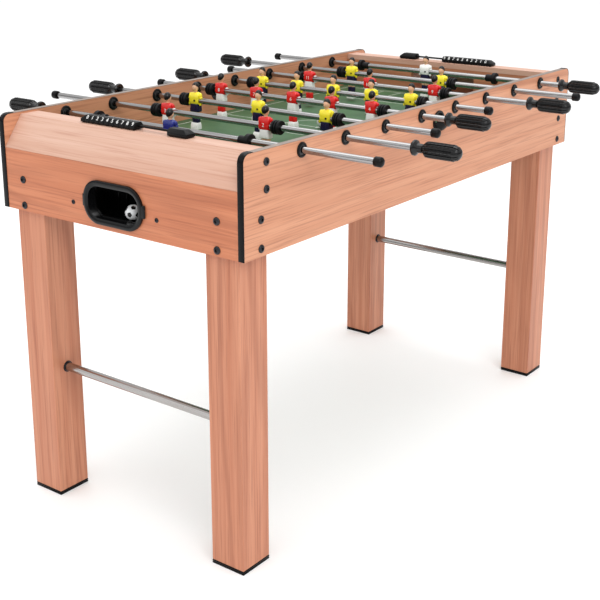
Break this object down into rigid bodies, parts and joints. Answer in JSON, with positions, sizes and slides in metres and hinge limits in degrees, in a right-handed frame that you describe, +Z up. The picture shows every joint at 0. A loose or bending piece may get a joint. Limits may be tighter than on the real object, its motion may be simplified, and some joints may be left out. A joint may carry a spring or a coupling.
{
  "type": "table football table",
  "caption": "Table football game: wooden cabinet on legs, playing rods with hanging figures that slide and spin, goals with ball returns, serving cups and sliding bead scorers.",
  "frame": {"origin": "on the floor under the centre of the cabinet", "axes": "+X along the cabinet towards the far end, +Y along the rods towards the rear side, +Z up"},
  "size_m": [1.2276, 1.088, 0.7965],
  "materials": {
    "cabinet_wood": "satin printed wood grain",
    "leg_wood": "satin printed wood grain",
    "field_print": "printed green board, semi-gloss",
    "steel": "polished",
    "rod_assembly": "polished tube carrying moulded figures",
    "black_plastic": "fine texture",
    "black_rubber": "matt",
    "chrome_tube": "polished",
    "edge_trim": "satin",
    "top_strip": "satin",
    "black_bolt": "black oxide",
    "bush_ring": "satin",
    "red_figure": "gloss paint",
    "yellow_figure": "gloss paint",
    "navy_figure": "gloss paint",
    "white_figure": "gloss paint",
    "skin_figure": "gloss paint",
    "black_figure": "gloss paint",
    "ball": "gloss"
  },
  "bodies": {
    "cabinet": {"side_panel_front": "cabinet_wood", "serving_cup_front": "black_plastic", "side_panel_rear": "cabinet_wood", "serving_cup_rear": "black_plastic", "playfield": "field_print", "end_apron_near": "cabinet_wood", "end_ledge_near": "cabinet_wood", "goal_wall_near": "cabinet_wood", "ball_return_near": "black_plastic", "cross_bar_near": "steel", "score_rail_near": "black_plastic", "leg_near_front": "leg_wood", "foot_pad_near_front": "black_plastic", "leg_near_rear": "leg_wood", "foot_pad_near_rear": "black_plastic", "end_apron_far": "cabinet_wood", "end_ledge_far": "cabinet_wood", "goal_wall_far": "cabinet_wood", "ball_return_far": "black_plastic", "cross_bar_far": "steel", "score_rail_far": "black_plastic", "leg_far_front": "leg_wood", "foot_pad_far_front": "black_plastic", "leg_far_rear": "leg_wood", "foot_pad_far_rear": "black_plastic"},
    "bearing_1": {"bushing_1_front": "black_plastic", "bushing_1_rear": "black_plastic"},
    "rod_set_1": {"rod_1": "rod_assembly", "handle_1": "black_plastic"},
    "bearing_2": {"bushing_2_front": "black_plastic", "bushing_2_rear": "black_plastic"},
    "rod_set_2": {"rod_2": "rod_assembly", "handle_2": "black_plastic"},
    "bearing_3": {"bushing_3_front": "black_plastic", "bushing_3_rear": "black_plastic"},
    "rod_set_3": {"rod_3": "rod_assembly", "handle_3": "black_plastic"},
    "bearing_4": {"bushing_4_front": "black_plastic", "bushing_4_rear": "black_plastic"},
    "rod_set_4": {"rod_4": "rod_assembly", "handle_4": "black_plastic"},
    "bearing_5": {"bushing_5_front": "black_plastic", "bushing_5_rear": "black_plastic"},
    "rod_set_5": {"rod_5": "rod_assembly", "handle_5": "black_plastic"},
    "bearing_6": {"bushing_6_front": "black_plastic", "bushing_6_rear": "black_plastic"},
    "rod_set_6": {"rod_6": "rod_assembly", "handle_6": "black_plastic"},
    "bearing_7": {"bushing_7_front": "black_plastic", "bushing_7_rear": "black_plastic"},
    "rod_set_7": {"rod_7": "rod_assembly", "handle_7": "black_plastic"},
    "bearing_8": {"bushing_8_front": "black_plastic", "bushing_8_rear": "black_plastic"},
    "rod_set_8": {"rod_8": "rod_assembly", "handle_8": "black_plastic"},
    "beads_near": {"score_beads_near": "black_plastic"},
    "beads_far": {"score_beads_far": "black_plastic"}
  },
  "joints": [
    {"name": "rod_1_spin", "type": "hinge", "parent": "cabinet", "child": "bearing_1", "pos_m": [-0.455, 0, 0.7575], "axis": [0, 1, 0], "continuous": true},
    {"name": "rod_1_slide", "type": "slide", "parent": "bearing_1", "child": "rod_set_1", "axis": [0, 1, 0], "range_m": [-0.0546, 0.0861]},
    {"name": "rod_2_spin", "type": "hinge", "parent": "cabinet", "child": "bearing_2", "pos_m": [-0.325, 0, 0.7575], "axis": [0, 1, 0], "continuous": true},
    {"name": "rod_2_slide", "type": "slide", "parent": "bearing_2", "child": "rod_set_2", "axis": [0, 1, 0], "range_m": [-0.1281, 0.1141]},
    {"name": "rod_3_spin", "type": "hinge", "parent": "cabinet", "child": "bearing_3", "pos_m": [-0.195, 0, 0.7575], "axis": [0, 1, 0], "continuous": true},
    {"name": "rod_3_slide", "type": "slide", "parent": "bearing_3", "child": "rod_set_3", "axis": [0, 1, 0], "range_m": [-0.0811, 0.0711]},
    {"name": "rod_4_spin", "type": "hinge", "parent": "cabinet", "child": "bearing_4", "pos_m": [-0.065, 0, 0.7575], "axis": [0, 1, 0], "continuous": true},
    {"name": "rod_4_slide", "type": "slide", "parent": "bearing_4", "child": "rod_set_4", "axis": [0, 1, 0], "range_m": [-0.0628, 0.0298]},
    {"name": "rod_5_spin", "type": "hinge", "parent": "cabinet", "child": "bearing_5", "pos_m": [0.065, 0, 0.7575], "axis": [0, 1, 0], "continuous": true},
    {"name": "rod_5_slide", "type": "slide", "parent": "bearing_5", "child": "rod_set_5", "axis": [0, 1, 0], "range_m": [-0.0513, 0.0413]},
    {"name": "rod_6_spin", "type": "hinge", "parent": "cabinet", "child": "bearing_6", "pos_m": [0.195, 0, 0.7575], "axis": [0, 1, 0], "continuous": true},
    {"name": "rod_6_slide", "type": "slide", "parent": "bearing_6", "child": "rod_set_6", "axis": [0, 1, 0], "range_m": [-0.0721, 0.0801]},
    {"name": "rod_7_spin", "type": "hinge", "parent": "cabinet", "child": "bearing_7", "pos_m": [0.325, 0, 0.7575], "axis": [0, 1, 0], "continuous": true},
    {"name": "rod_7_slide", "type": "slide", "parent": "bearing_7", "child": "rod_set_7", "axis": [0, 1, 0], "range_m": [-0.1311, 0.1111]},
    {"name": "rod_8_spin", "type": "hinge", "parent": "cabinet", "child": "bearing_8", "pos_m": [0.455, 0, 0.7575], "axis": [0, 1, 0], "continuous": true},
    {"name": "rod_8_slide", "type": "slide", "parent": "bearing_8", "child": "rod_set_8", "axis": [0, 1, 0], "range_m": [-0.0946, 0.0461]},
    {"name": "beads_near_slide", "type": "slide", "parent": "cabinet", "child": "beads_near", "axis": [0, 1, 0], "range_m": [-0.078, 0]},
    {"name": "beads_far_slide", "type": "slide", "parent": "cabinet", "child": "beads_far", "axis": [0, 1, 0], "range_m": [0, 0.078]}
  ]
}
